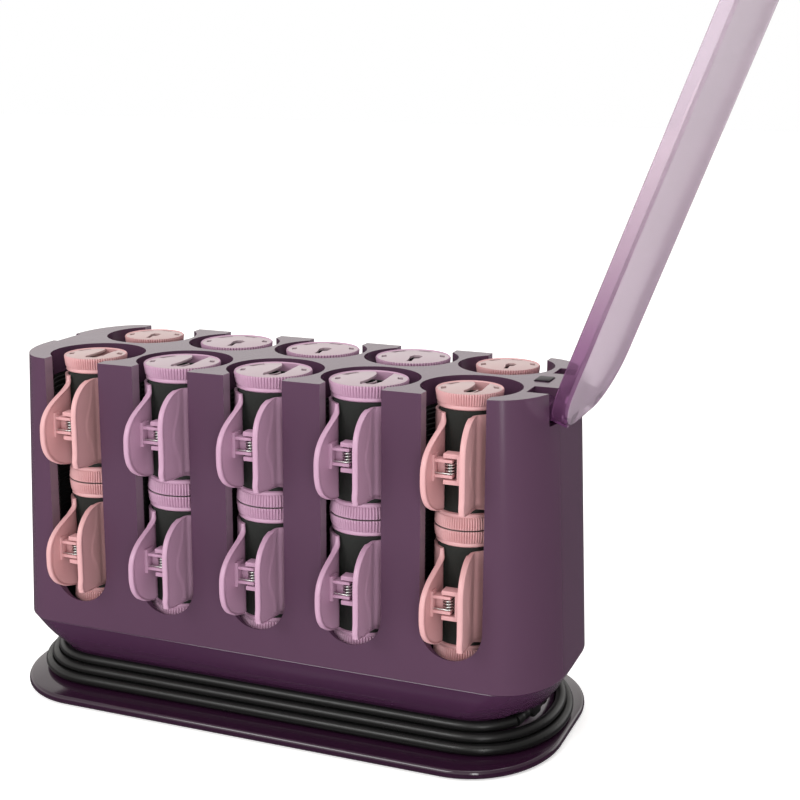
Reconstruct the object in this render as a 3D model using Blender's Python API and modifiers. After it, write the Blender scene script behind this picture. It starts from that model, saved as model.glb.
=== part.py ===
"""Heated hair roller setter: ten wells that hold twenty stacked rollers, each with a claw clip, under a hinged lid.

Frame: +X runs along the case to the lid's hinge, -Y is the front, +Z is up, and the origin is the centre of the
base plate's underside. Everything is in metres. The lid stands open, which is its rest position.
"""

import math

import bmesh
import bpy
from mathutils import Matrix, Vector

GAP = 0.0003  # between pieces that touch

# Case: two rounded rectangles, (half length, half depth) with elliptical corners
CASE_BOTTOM_Z = 0.035
CASE_TOP_Z = 0.168
CASE_TOP = ((0.1335, 0.0484), (0.0235, 0.0350))
CASE_BOTTOM = ((0.1398, 0.0485), (0.0260, 0.0360))
CASE_WALL = 0.0030
DECK_THICKNESS = 0.0120
CORNER_STEPS = 6

# Wells and rollers
COLUMN_PITCH = 0.04795
COLUMNS = 5
ROLLER_Y = 0.0272  # rollers stand this far in front of and behind the middle
WELL_Y = 0.0248
WELL_RADIUS = 0.0228
WELL_FLOOR_Z = 0.0446
WELL_SIDES = 20
SLOT_HALF_WIDTH = 0.0149
SLOT_BOTTOM_Z = 0.0478
SLOT_DEPTH_Y = (0.040, 0.060)
SLOT_ARC_STEPS = 8
ROLLER_LENGTH = 0.0614
ROLLER_WALL = 0.0030
ROLLER_END = 0.0040
RING_HEIGHT = 0.0076
ROLLER_SIDES = 12
# barrel radius, end ring's outer radius, end ring's radius beside the barrel
LARGE = (0.015875, 0.01825, 0.0170)
SMALL = (0.012700, 0.01520, 0.0140)

# Claw clips, in a frame with the roller's axis at the origin and the handles towards -Y
CLIP_HALF_HEIGHT = 0.0215
CLIP_THICKNESS = 0.0015
CLIP_CLEARANCE = 0.0007
CLIP_CLAW_ANGLES = (50.0, -62.0)
CLIP_GRID = (6, 4)
CLIP_CLAW_SHARE = 4 / 6  # of the grid's columns; the rest make the handle
CLIP_HANDLE_ROUNDNESS = 2.6
CLIP_HANDLE_LEAST = 0.12
CLIP_TIP = (0.0092, -0.0378)
CLIP_PIN_Y = -0.0233
CLIP_PIN_RADIUS = 0.0010
CLIP_PIN_BORE = 0.0014
CLIP_LUG = (0.0083, 0.0030, 0.0070)  # reach from the pin, half depth, half height
CLIP_LUG_SPLIT = 0.0042
CLIP_FORK_INNER = 0.0046

# Heater
CHAMBER_HALF = (0.1210, 0.0451)
CHAMBER_CORNER = (0.0200, 0.0300)
CHAMBER_BOTTOM_Z = 0.0415
HEATER_HALF = (0.1180, 0.0420)
HEATER_Z = (0.0385, 0.0412)
POST_RADIUS = 0.0065
POST_TOP_Z = 0.0980
POST_HOLE = 0.0080
ELEMENT_HALF = (0.0900, 0.0240)
ELEMENT_RADIUS = 0.0030
THERMOSTAT_RADIUS = 0.0080
THERMOSTAT_HEIGHT = 0.0070

# Mains cord, wound round the waist in turns that each lie outside and below the one before
CORD_RADIUS = 0.0026
TURN_STEP = (0.0034, 0.0039)
FIRST_TURN_Z = 0.0149
FIRST_TURN = ((0.1289, 0.0427), (0.0306, 0.0386))
LAST_TURN = 2
RAMP_DEG = 75.0  # each turn moves out to the next over this much of the right end's back corner
RELIEF_DEG = 310.0  # past this the strain relief takes the place of the first turn
TAIL_X = 0.0080  # the last turn leaves the winding here, at the back
RELIEF_FROM = Vector((0.1265, -0.0090, 0.0197))
RELIEF_TO = Vector((0.1210, -0.0299, 0.0159))
RELIEF_RADII = (0.0038, 0.0029)
PLUG_AT = Vector((0.0770, 0.0575, 0.0145))
PLUG_BODY = (0.0300, 0.0124, 0.0200)
PLUG_NECK = (0.0100, 0.0042, 0.0034)  # length, and its radius at the body and at the cord
PLUG_BLADE = (0.0160, 0.0063, 0.0015)
PLUG_BLADE_SPACING = 0.0127

# Lower housing and base plate: z, then half sizes and corners
WAIST = ((0.1260, 0.0398), (0.0277, 0.0357))
WAIST_FLARE = 0.0080
HOUSING_SECTIONS = (
    (0.0347, (0.1393, 0.0482), (0.0260, 0.0360)),
    (0.0280, (0.1360, 0.0465), (0.0290, 0.0370)),
    (0.0210, (0.1315, 0.0430), (0.0320, 0.0375)),
    (0.0182, (0.1296, 0.0414), (0.0330, 0.0375)),
    (0.0178, *WAIST),
    (0.0137, *WAIST),
    (0.0045, *(tuple(size + WAIST_FLARE for size in sizes) for sizes in WAIST)),
)
HOUSING_WALL = 0.0030
HOUSING_FLOOR_Z = 0.0070
HOUSING_STEP_Z = 0.0215
PLATE_SECTIONS = (
    (0.0000, (0.1380, 0.0638), (0.0410, 0.0480)),
    (0.0014, (0.1395, 0.0653), (0.0420, 0.0490)),
    (0.0030, (0.1395, 0.0653), (0.0420, 0.0490)),
    (0.0042, (0.1383, 0.0641), (0.0412, 0.0482)),
)

# Lid, as it lies when closed
LID_OPEN_DEG = 110.5
LID_PIVOT = Vector((0.1280, 0.0, 0.1610))
LID_LEFT_X = -0.1340
LID_RIGHT_X = 0.1315
LID_HALF_DEPTH = 0.0489
LID_CORNER = (0.0240, 0.0355)
LID_Z = (0.1687, 0.1755)
LID_SKIN = 0.0020
LID_OPEN_END = (0.1230, 0.0280)  # the rim is left out beyond this X, within this half depth
KNUCKLE_Y = (0.0155, 0.0260)
KNUCKLE_RADIUS = 0.0042
KNUCKLE_ARM_X = (0.1245, 0.1310)
PIN_RADIUS = 0.0015
PIN_BORE = 0.0018
PIN_HALF_LENGTH = 0.0295
HINGE_NOTCH_X = 0.1215
HINGE_NOTCH_Y = (0.0145, 0.0270)
HINGE_NOTCH_Z = 0.0170

# Small pieces on the case
LENS_AT = (0.1216, 0.0005)
LENS_SIZE = (0.0070, 0.0095, 0.0022)
LENS_PROUD = 0.0006
CATCH_FACE_X = -0.1310
CATCH_MIDDLE = (0.0020, 0.1624)
CATCH_SIZE = (0.0020, 0.0120, 0.0080)
CATCH_RECESS = (0.0200, 0.0115)

PURPLE = (0.115, 0.062, 0.108)
DARK_PURPLE = (0.045, 0.016, 0.042)
LILAC = (0.330, 0.190, 0.320)
PINK = (0.600, 0.330, 0.330)


def clear_scene():
    for obj in list(bpy.data.objects):
        bpy.data.objects.remove(obj)


def new_collection(name):
    collection = bpy.data.collections.new(name)
    bpy.context.scene.collection.children.link(collection)
    return collection


clear_scene()
PARTS = new_collection("heated_roller_setter")
CUTTERS = new_collection("cutters")


def material(name, colour, roughness, metallic=0.0, alpha=1.0):
    made = bpy.data.materials.new(name)
    made.use_nodes = True
    shader = made.node_tree.nodes["Principled BSDF"]
    shader.inputs["Base Color"].default_value = (*colour, 1.0)
    shader.inputs["Roughness"].default_value = roughness
    shader.inputs["Metallic"].default_value = metallic
    shader.inputs["Alpha"].default_value = alpha
    return made


def add_part(name, mesh, finish, at=(0, 0, 0), turn_z=0.0):
    """Adds a mesh as one of the object's pieces, with its own material."""
    obj = bpy.data.objects.new(name, mesh)
    obj.location = at
    obj.rotation_euler.z = turn_z
    PARTS.objects.link(obj)
    obj.data.materials.clear()
    obj.data.materials.append(finish)
    return obj


def add_cutter(name, mesh):
    obj = bpy.data.objects.new(name, mesh)
    obj.hide_render = True
    obj.display_type = "WIRE"
    CUTTERS.objects.link(obj)
    return obj


def boolean(obj, other, operation="DIFFERENCE"):
    modifier = obj.modifiers.new(other.name, "BOOLEAN")
    modifier.operation = operation
    modifier.object = other


def smooth(mesh, angle=35.0):
    mesh.shade_smooth()
    mesh.set_sharp_from_angle(angle=math.radians(angle))
    return mesh


def corner_points(half, corner, steps=CORNER_STEPS):
    """Yields the angle and place of each corner point of a rounded rectangle, counter-clockwise."""
    for quarter in range(4):
        sign_x = (1, -1, -1, 1)[quarter]
        sign_y = (1, 1, -1, -1)[quarter]
        for step in range(steps + 1):
            angle = 90.0 * (quarter + step / steps)
            x = sign_x * (half[0] - corner[0]) + corner[0] * math.cos(math.radians(angle))
            y = sign_y * (half[1] - corner[1]) + corner[1] * math.sin(math.radians(angle))
            yield angle, (x, y)


def rounded_outline(half, corner, middle=(0.0, 0.0), steps=CORNER_STEPS):
    return [(middle[0] + x, middle[1] + y) for _, (x, y) in corner_points(half, corner, steps)]


def loft(name, sections):
    """A closed solid through outlines of equal point counts, given as (z, points) from the bottom up."""
    shape = bmesh.new()
    rings = [[shape.verts.new((x, y, z)) for x, y in points] for z, points in sections]
    shape.faces.new(reversed(rings[0]))
    shape.faces.new(rings[-1])
    for lower, upper in zip(rings, rings[1:]):
        for i in range(len(lower)):
            j = (i + 1) % len(lower)
            shape.faces.new((lower[i], lower[j], upper[j], upper[i]))
    mesh = bpy.data.meshes.new(name)
    shape.to_mesh(mesh)
    shape.free()
    return smooth(mesh)


def rounded_loft(name, sections, inset=0.0):
    """A loft through (z, half, corner) sections, given in any order, with every side moved in by inset."""
    outlines = []
    for z, half, corner in sorted(sections):
        inner_half = (half[0] - inset, half[1] - inset)
        inner_corner = (corner[0] - inset, corner[1] - inset)
        outlines.append((z, rounded_outline(inner_half, inner_corner)))
    return loft(name, outlines)


def block(name, low, high):
    """A box between two corners."""
    shape = bmesh.new()
    size = [b - a for a, b in zip(low, high)]
    centre = [(a + b) / 2 for a, b in zip(low, high)]
    place = Matrix.Translation(centre) @ Matrix.Diagonal((*size, 1.0))
    bmesh.ops.create_cube(shape, size=1.0, matrix=place)
    mesh = bpy.data.meshes.new(name)
    shape.to_mesh(mesh)
    shape.free()
    return mesh


def rods(name, places, sides=16):
    """Cylinders or cones, one for each (start, end, start radius, end radius)."""
    shape = bmesh.new()
    for start, end, radius_start, radius_end in places:
        along = Vector(end) - Vector(start)
        turn = along.to_track_quat("Z", "Y").to_matrix().to_4x4()
        place = Matrix.Translation((Vector(start) + Vector(end)) / 2) @ turn
        bmesh.ops.create_cone(
            shape,
            cap_ends=True,
            segments=sides,
            radius1=radius_start,
            radius2=radius_end,
            depth=along.length,
            matrix=place,
        )
    mesh = bpy.data.meshes.new(name)
    shape.to_mesh(mesh)
    shape.free()
    return smooth(mesh)


def column_x(column):
    return (column - (COLUMNS - 1) / 2) * COLUMN_PITCH


def wells():
    """(column, side) for each well, where side is -1 in the front row and 1 in the back row."""
    return [(column, side) for side in (-1, 1) for column in range(COLUMNS)]


def well_cutter():
    places = []
    for column, side in wells():
        centre = (column_x(column), side * WELL_Y)
        places.append(((*centre, WELL_FLOOR_Z), (*centre, CASE_TOP_Z + 0.01), WELL_RADIUS, WELL_RADIUS))
    return add_cutter("well_cutter", rods("well_cutter", places, WELL_SIDES))


def slot_cutter():
    """The open fronts of the wells: straight sides and a half-round bottom."""
    centre_z = SLOT_BOTTOM_Z + SLOT_HALF_WIDTH
    outline = [(SLOT_HALF_WIDTH, CASE_TOP_Z + 0.01)]
    for step in range(SLOT_ARC_STEPS + 1):
        angle = math.pi * step / SLOT_ARC_STEPS
        outline.append((SLOT_HALF_WIDTH * math.cos(angle), centre_z - SLOT_HALF_WIDTH * math.sin(angle)))
    outline.append((-SLOT_HALF_WIDTH, CASE_TOP_Z + 0.01))
    shape = bmesh.new()
    for column, side in wells():
        near, far = (side * SLOT_DEPTH_Y[0], side * SLOT_DEPTH_Y[1])
        rings = [[shape.verts.new((column_x(column) + x, y, z)) for x, z in outline] for y in (near, far)]
        shape.faces.new(rings[0])
        shape.faces.new(rings[1])
        for i in range(len(outline)):
            j = (i + 1) % len(outline)
            shape.faces.new((rings[0][i], rings[0][j], rings[1][j], rings[1][i]))
    bmesh.ops.recalc_face_normals(shape, faces=shape.faces)
    mesh = bpy.data.meshes.new("slot_cutter")
    shape.to_mesh(mesh)
    shape.free()
    return add_cutter("slot_cutter", mesh)


def case_half(z, inset=0.0):
    """The case's (half, corner) at a height, moved in by inset."""
    share = (z - CASE_BOTTOM_Z) / (CASE_TOP_Z - CASE_BOTTOM_Z)
    sizes = []
    for bottom, top in zip(CASE_BOTTOM, CASE_TOP):
        sizes.append(tuple(b + share * (t - b) - inset for b, t in zip(bottom, top)))
    return sizes


def make_case(well, slot):
    """The purple outer housing: walls and a deck, open below, with the wells and their slots cut through."""
    sections = [(z, *case_half(z)) for z in (CASE_BOTTOM_Z, CASE_TOP_Z)]
    case = add_part("case_shell", rounded_loft("case_shell", sections), material("case", PURPLE, 0.32))
    deck_z = CASE_TOP_Z - DECK_THICKNESS
    inside = [(z, *case_half(z, CASE_WALL)) for z in (CASE_BOTTOM_Z - 0.002, deck_z)]
    boolean(case, add_cutter("case_inside", rounded_loft("case_inside", inside)))
    boolean(case, well)
    boolean(case, slot)
    for side in (-1, 1):
        ys = sorted(side * y for y in HINGE_NOTCH_Y)
        low = (HINGE_NOTCH_X, ys[0], CASE_TOP_Z - HINGE_NOTCH_Z)
        high = (0.150, ys[1], CASE_TOP_Z + 0.01)
        boolean(case, add_cutter(f"hinge_notch_{side}", block("hinge_notch", low, high)))
    ends = [(LID_PIVOT.x, side * (PIN_HALF_LENGTH + GAP), LID_PIVOT.z) for side in (-1, 1)]
    boolean(case, add_cutter("pin_bore", rods("pin_bore", [(*ends, PIN_BORE, PIN_BORE)], 12)))
    low, high = lens_box(GAP)
    boolean(case, add_cutter("lens_pocket", block("lens_pocket", low, (*high[:2], CASE_TOP_Z + 0.01))))
    width, height = CATCH_RECESS
    y = CATCH_MIDDLE[0]
    low = (-0.150, y - width / 2, CASE_TOP_Z - height)
    high = (CATCH_FACE_X, y + width / 2, CASE_TOP_Z + 0.01)
    boolean(case, add_cutter("catch_recess", block("catch_recess", low, high)))


def lens_box(more=0.0):
    """The indicator lens's two corners, with its sides and bottom moved out by more."""
    width, depth, height = LENS_SIZE
    x, y = LENS_AT
    low = (x - width / 2 - more, y - depth / 2 - more, CASE_TOP_Z - height - more)
    return low, (x + width / 2 + more, y + depth / 2 + more, CASE_TOP_Z + LENS_PROUD)


def make_case_fittings():
    ends = [(LID_PIVOT.x, side * PIN_HALF_LENGTH, LID_PIVOT.z) for side in (-1, 1)]
    steel = material("pin_steel", (0.62, 0.62, 0.64), 0.3, 1.0)
    add_part("lid_hinge_pin", rods("lid_hinge_pin", [(*ends, PIN_RADIUS, PIN_RADIUS)], 12), steel)
    lens = material("lens", (0.30, 0.05, 0.35), 0.15)
    add_part("indicator_lens", block("indicator_lens", *lens_box()), lens)
    face, (y, z) = CATCH_FACE_X - GAP, CATCH_MIDDLE
    depth, width, height = CATCH_SIZE
    low = (face - depth, y - width / 2, z - height / 2)
    catch = block("lid_catch", low, (face, y + width / 2, z + height / 2))
    add_part("lid_catch", catch, material("catch", (0.02, 0.012, 0.02), 0.35))


def make_chamber(well, slot):
    """The black chamber inside the case, whose walls line the wells."""
    top = CASE_TOP_Z - DECK_THICKNESS - GAP
    sections = [(z, CHAMBER_HALF, CHAMBER_CORNER) for z in (CHAMBER_BOTTOM_Z, top)]
    black = material("chamber", (0.012, 0.012, 0.013), 0.5)
    chamber = add_part("heat_chamber", rounded_loft("heat_chamber", sections), black)
    boolean(chamber, well)
    boolean(chamber, slot)
    places = []
    for column, side in wells():
        centre = (column_x(column), side * ROLLER_Y)
        places.append(((*centre, CHAMBER_BOTTOM_Z - 0.01), (*centre, WELL_FLOOR_Z + 0.01), POST_HOLE, POST_HOLE))
    boolean(chamber, add_cutter("post_holes", rods("post_holes", places, 12)))


def make_heater():
    """The hot plate with its ten posts, the element under it and the thermostat."""
    sections = [(z, HEATER_HALF, CHAMBER_CORNER) for z in HEATER_Z]
    aluminium = material("heater_aluminium", (0.7, 0.7, 0.72), 0.35, 1.0)
    plate = add_part("heater_plate", rounded_loft("heater_plate", sections), aluminium)
    places = []
    for column, side in wells():
        centre = (column_x(column), side * ROLLER_Y)
        places.append(((*centre, HEATER_Z[0] + 0.001), (*centre, POST_TOP_Z), POST_RADIUS, POST_RADIUS))
    boolean(plate, add_cutter("heater_posts", rods("heater_posts", places, 10)), "UNION")
    element_z = HEATER_Z[0] - GAP - ELEMENT_RADIUS
    points = rounded_outline(ELEMENT_HALF, (0.020, 0.020), steps=3)
    add_wire(
        "heating_element",
        [(x, y, element_z) for x, y in points],
        ELEMENT_RADIUS,
        material("element", (0.25, 0.24, 0.23), 0.4, 1.0),
        closed=True,
    )
    top = HEATER_Z[0] - GAP
    ends = ((0, 0, top - THERMOSTAT_HEIGHT), (0, 0, top))
    body = rods("thermostat", [(*ends, THERMOSTAT_RADIUS, THERMOSTAT_RADIUS)])
    add_part("thermostat", body, material("thermostat", (0.5, 0.42, 0.3), 0.5))


def add_wire(name, points, radius, finish, closed=False):
    curve = bpy.data.curves.new(name, "CURVE")
    curve.dimensions = "3D"
    curve.bevel_depth = radius
    curve.bevel_resolution = 2
    curve.use_fill_caps = True
    spline = curve.splines.new("POLY")
    spline.points.add(len(points) - 1)
    for point, place in zip(spline.points, points):
        point.co = (*place, 1.0)
    spline.use_cyclic_u = closed
    return add_part(name, curve, finish)


def make_base():
    """The lower housing, a tub with a waist for the cord, and the plate it stands on."""
    purple = material("lower_housing", DARK_PURPLE, 0.3)
    housing = add_part("lower_housing", rounded_loft("lower_housing", HOUSING_SECTIONS), purple)
    top_z, *top = HOUSING_SECTIONS[0]
    inside_sections = (
        (HOUSING_FLOOR_Z, *WAIST),
        (HOUSING_STEP_Z, *WAIST),
        HOUSING_SECTIONS[1],
        (top_z + 0.001, *top),
    )
    inside = rounded_loft("housing_inside", inside_sections, HOUSING_WALL)
    boolean(housing, add_cutter("housing_inside", inside))
    along = (RELIEF_TO - RELIEF_FROM).normalized()
    hole = RELIEF_RADII[0] + GAP
    pocket = [(RELIEF_FROM - along * 0.004, RELIEF_TO + along * 0.003, hole, hole)]
    boolean(housing, add_cutter("relief_pocket", rods("relief_pocket", pocket, 12)))
    add_part("base_plate", rounded_loft("base_plate", PLATE_SECTIONS), material("base_plate", DARK_PURPLE, 0.15))


def make_lid():
    """The clear tray lid, modelled closed about its pivot and then turned open."""
    left, right = LID_LEFT_X - LID_PIVOT.x, LID_RIGHT_X - LID_PIVOT.x
    middle = ((left + right) / 2, 0.0)
    half = ((right - left) / 2, LID_HALF_DEPTH)
    rim_z, top_z = (z - LID_PIVOT.z for z in LID_Z)
    outline = rounded_outline(half, LID_CORNER, middle)
    shell = loft("lid", [(rim_z, outline), (top_z, outline)])
    lid = add_part("lid", shell, material("lid", (0.62, 0.48, 0.62), 0.1, alpha=0.5))
    inner_half = (half[0] - LID_SKIN, half[1] - LID_SKIN)
    inner_corner = (LID_CORNER[0] - LID_SKIN, LID_CORNER[1] - LID_SKIN)
    inner = rounded_outline(inner_half, inner_corner, middle)
    cutters = [loft("lid_inside", [(rim_z - 0.002, inner), (top_z - LID_SKIN, inner)])]
    open_x = LID_OPEN_END[0] - LID_PIVOT.x
    low = (open_x, -LID_OPEN_END[1], rim_z - 0.002)
    cutters.append(block("lid_open_end", low, (right + 0.01, LID_OPEN_END[1], top_z - LID_SKIN)))
    knuckles, arms = [], []
    for side in (-1, 1):
        ys = sorted(side * y for y in KNUCKLE_Y)
        knuckles.append(((0, ys[0], 0), (0, ys[1], 0), KNUCKLE_RADIUS, KNUCKLE_RADIUS))
        xs = [x - LID_PIVOT.x for x in KNUCKLE_ARM_X]
        arms.append(block("lid_arm", (xs[0], ys[0], 0), (xs[1], ys[1], top_z - LID_SKIN / 2)))
    objects = [add_cutter(mesh.name, mesh) for mesh in cutters]
    for cutter in objects:
        boolean(lid, cutter)
    joined = [add_cutter(mesh.name, mesh) for mesh in arms]
    joined.append(add_cutter("lid_knuckles", rods("lid_knuckles", knuckles, 14)))
    for piece in joined:
        boolean(lid, piece, "UNION")
    bore = rods("lid_bore", [((0, -0.03, 0), (0, 0.03, 0), PIN_BORE, PIN_BORE)], 12)
    objects.append(add_cutter("lid_bore", bore))
    boolean(lid, objects[-1])
    hinge = bpy.data.objects.new("lid_hinge", None)
    PARTS.objects.link(hinge)
    hinge.location = LID_PIVOT
    hinge.rotation_euler.y = math.radians(LID_OPEN_DEG)
    for obj in (lid, *objects, *joined):
        obj.parent = hinge


def roller_mesh(name, sizes):
    """The profile of a roller: a barrel with a ring at each end, closed on top and hollow from below."""
    barrel, ring, ring_inner = sizes
    bore = barrel - ROLLER_WALL
    profile = [
        (0.0, ROLLER_LENGTH),
        (ring, ROLLER_LENGTH),
        (ring_inner, ROLLER_LENGTH - RING_HEIGHT),
        (barrel, ROLLER_LENGTH - RING_HEIGHT),
        (barrel, RING_HEIGHT),
        (ring_inner, RING_HEIGHT),
        (ring, 0.0),
        (bore, 0.0),
        (bore, ROLLER_LENGTH - ROLLER_END),
        (0.0, ROLLER_LENGTH - ROLLER_END),
    ]
    shape = bmesh.new()
    points = [shape.verts.new((radius, 0.0, z)) for radius, z in profile]
    for start, end in zip(points, points[1:]):
        shape.edges.new((start, end))
    mesh = bpy.data.meshes.new(name)
    shape.to_mesh(mesh)
    shape.free()
    return mesh


def add_roller(name, sizes, finish, at):
    roller = add_part(name, roller_mesh(name, sizes), finish, at)
    turn = roller.modifiers.new("turn", "SCREW")
    turn.steps = ROLLER_SIDES
    turn.render_steps = ROLLER_SIDES
    turn.use_merge_vertices = True
    turn.merge_threshold = 0.00001
    turn.use_smooth_shade = True
    return roller


def jaw_point(share, barrel, side):
    """A point of a jaw seen from above: an arc round the barrel, then straight out to the handle's tip."""
    radius = barrel + CLIP_CLEARANCE + CLIP_THICKNESS / 2
    start, end = (math.radians(angle) for angle in CLIP_CLAW_ANGLES)
    angle = start + (end - start) * min(share / CLIP_CLAW_SHARE, 1.0)
    point = Vector((radius * math.cos(angle), radius * math.sin(angle)))
    if share > CLIP_CLAW_SHARE:
        point = point.lerp(Vector(CLIP_TIP), (share - CLIP_CLAW_SHARE) / (1.0 - CLIP_CLAW_SHARE))
    return side * point.x, point.y


def jaw_plate(name, barrel, sides):
    """The jaws' curved plates, with their axis on the clip's pin. The handles round off towards top and bottom."""
    shape = bmesh.new()
    columns, rows = CLIP_GRID
    for side in sides:
        made = bmesh.ops.create_grid(shape, x_segments=columns, y_segments=rows, size=1.0)
        for vert in made["verts"]:
            share, height = (vert.co.x + 1.0) / 2.0, vert.co.y
            round_off = (1.0 - abs(height) ** CLIP_HANDLE_ROUNDNESS) ** (1.0 / CLIP_HANDLE_ROUNDNESS)
            if share > CLIP_CLAW_SHARE:
                reach = max(CLIP_HANDLE_LEAST, round_off)
                share = CLIP_CLAW_SHARE + (share - CLIP_CLAW_SHARE) * reach
            x, y = jaw_point(share, barrel, side)
            vert.co = (x, y - CLIP_PIN_Y, height * CLIP_HALF_HEIGHT)
    bmesh.ops.recalc_face_normals(shape, faces=shape.faces)
    mesh = bpy.data.meshes.new(name)
    shape.to_mesh(mesh)
    shape.free()
    return smooth(mesh)


def thicken(obj):
    solid = obj.modifiers.new("thickness", "SOLIDIFY")
    solid.thickness = CLIP_THICKNESS
    solid.offset = 0.0


def add_clip(name, barrel, finish, at, turn_z):
    """A whole claw clip in one piece: both jaws and the hinge between them."""
    clip = add_part(name, jaw_plate(name, barrel, (-1, 1)), finish, at, turn_z)
    thicken(clip)
    reach, depth, height = CLIP_LUG
    hinge = add_cutter(f"{name}_hinge", block("clip_hinge", (-reach, -depth, -height), (reach, depth, height)))
    hinge.parent = clip
    boolean(clip, hinge, "UNION")


def add_jaw(name, side, barrel, finish, at, turn_z):
    """One jaw of a claw clip. The left jaw carries the bored lug, and the right jaw the fork and its pin."""
    jaw = add_part(name, jaw_plate(name, barrel, (side,)), finish, at, turn_z)
    thicken(jaw)
    reach, depth, height = CLIP_LUG
    inner = 2 * CLIP_PIN_BORE
    if side < 0:
        pieces = [block("jaw_lug", (-reach, -depth, -CLIP_LUG_SPLIT), (inner, depth, CLIP_LUG_SPLIT))]
    else:
        pieces = []
        for low, high in ((CLIP_FORK_INNER, height), (-height, -CLIP_FORK_INNER)):
            pieces.append(block("jaw_fork", (-inner, -depth, low), (reach, depth, high)))
        pin = ((0, 0, -height + 0.0005), (0, 0, height - 0.0005), CLIP_PIN_RADIUS, CLIP_PIN_RADIUS)
        pieces.append(rods("jaw_pin", [pin], 8))
    for index, mesh in enumerate(pieces):
        piece = add_cutter(f"{name}_{mesh.name}_{index}", mesh)
        piece.parent = jaw
        boolean(jaw, piece, "UNION")
    if side < 0:
        bore = ((0, 0, -height), (0, 0, height), CLIP_PIN_BORE, CLIP_PIN_BORE)
        piece = add_cutter(f"{name}_bore", rods("jaw_bore", [bore], 8))
        piece.parent = jaw
        boolean(jaw, piece)


def make_rollers():
    """Two rollers in each well, with a clip on each. The end columns hold the small ones."""
    finishes = {
        "large": material("large_roller", LILAC, 0.45),
        "small": material("small_roller", PINK, 0.45),
        "large_clip": material("large_clip", LILAC, 0.3),
        "small_clip": material("small_clip", PINK, 0.3),
    }
    for column, side in wells():
        size = "small" if column in (0, COLUMNS - 1) else "large"
        sizes = SMALL if size == "small" else LARGE
        row = "front" if side < 0 else "back"
        x, y = column_x(column), side * ROLLER_Y
        turn_z = 0.0 if side < 0 else math.pi
        for level, top in (("upper", CASE_TOP_Z), ("lower", CASE_TOP_Z - ROLLER_LENGTH - GAP)):
            tag = f"{row}_{column + 1}_{level}"
            bottom = top - ROLLER_LENGTH
            add_roller(f"roller_{tag}", sizes, finishes[size], (x, y, bottom))
            pin = (x, y + side * -CLIP_PIN_Y, bottom + ROLLER_LENGTH / 2)
            clip_finish = finishes[f"{size}_clip"]
            if (row, level) == ("front", "upper"):
                add_jaw(f"clip_{tag}_left_jaw", -1, sizes[0], clip_finish, pin, turn_z)
                add_jaw(f"clip_{tag}_right_jaw", 1, sizes[0], clip_finish, pin, turn_z)
            else:
                add_clip(f"clip_{tag}", sizes[0], clip_finish, pin, turn_z)


def winding_stations():
    """Places along the first turn: (place, outward direction, innermost turn there, outermost turn there)."""
    half, corner = FIRST_TURN
    stations = []
    for angle, place in corner_points(half, corner):
        outward = (math.cos(math.radians(angle)), math.sin(math.radians(angle)))
        inner, outer = 0.0, LAST_TURN
        if angle <= 90.0:
            moved_out = 1.0 - min(angle / RAMP_DEG, 1.0)
            inner, outer = moved_out, LAST_TURN - 1 + moved_out
        elif angle > RELIEF_DEG:
            inner = 1.0
        if len(stations) == CORNER_STEPS + 1:
            stations.append(((TAIL_X, half[1]), (0.0, 1.0), 0.0, LAST_TURN - 1))
            stations.append(((TAIL_X - 2 * CORD_RADIUS, half[1]), (0.0, 1.0), 0.0, LAST_TURN))
        stations.append((place, outward, inner, outer))
    return stations


def make_winding():
    """The wound cord as one closed ring, whose section is the outer shape of the turns that lie on each other."""
    shape = bmesh.new()
    rings = []
    for place, outward, inner, outer in winding_stations():
        ring = []
        for turn, angles in ((outer, (-135, -90, 0, 45)), (inner, (45, 90, 180, 225))):
            for angle in angles:
                across = turn * TURN_STEP[0] + CORD_RADIUS * math.cos(math.radians(angle))
                z = FIRST_TURN_Z - turn * TURN_STEP[1] + CORD_RADIUS * math.sin(math.radians(angle))
                x, y = (p + across * o for p, o in zip(place, outward))
                ring.append(shape.verts.new((x, y, z)))
        rings.append(ring)
    for ring, following in zip(rings, rings[1:] + rings[:1]):
        for i in range(len(ring)):
            j = (i + 1) % len(ring)
            shape.faces.new((ring[i], ring[j], following[j], following[i]))
    bmesh.ops.recalc_face_normals(shape, faces=shape.faces)
    mesh = bpy.data.meshes.new("cord_winding")
    shape.to_mesh(mesh)
    shape.free()
    add_part("cord_winding", smooth(mesh), material("cord", (0.012, 0.012, 0.012), 0.4))


def make_tail():
    """The cord's last stretch, from the winding to the plug on the ledge behind it."""
    half = FIRST_TURN[0]
    start = Vector(
        (
            TAIL_X + GAP,
            half[1] + LAST_TURN * TURN_STEP[0] + GAP,
            FIRST_TURN_Z - LAST_TURN * TURN_STEP[1] - GAP / 2,
        )
    )
    end = PLUG_AT - Vector((PLUG_BODY[0] / 2 + PLUG_NECK[0] + GAP, 0, 0))
    steps = 8
    places = []
    for step in range(steps + 1):
        along = step / steps
        share = along * along * (3.0 - 2.0 * along)
        places.append((start.x + along * (end.x - start.x), *start.lerp(end, share).yz))
    add_wire("cord_tail", places, CORD_RADIUS, material("tail", (0.012, 0.012, 0.012), 0.4))


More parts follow.
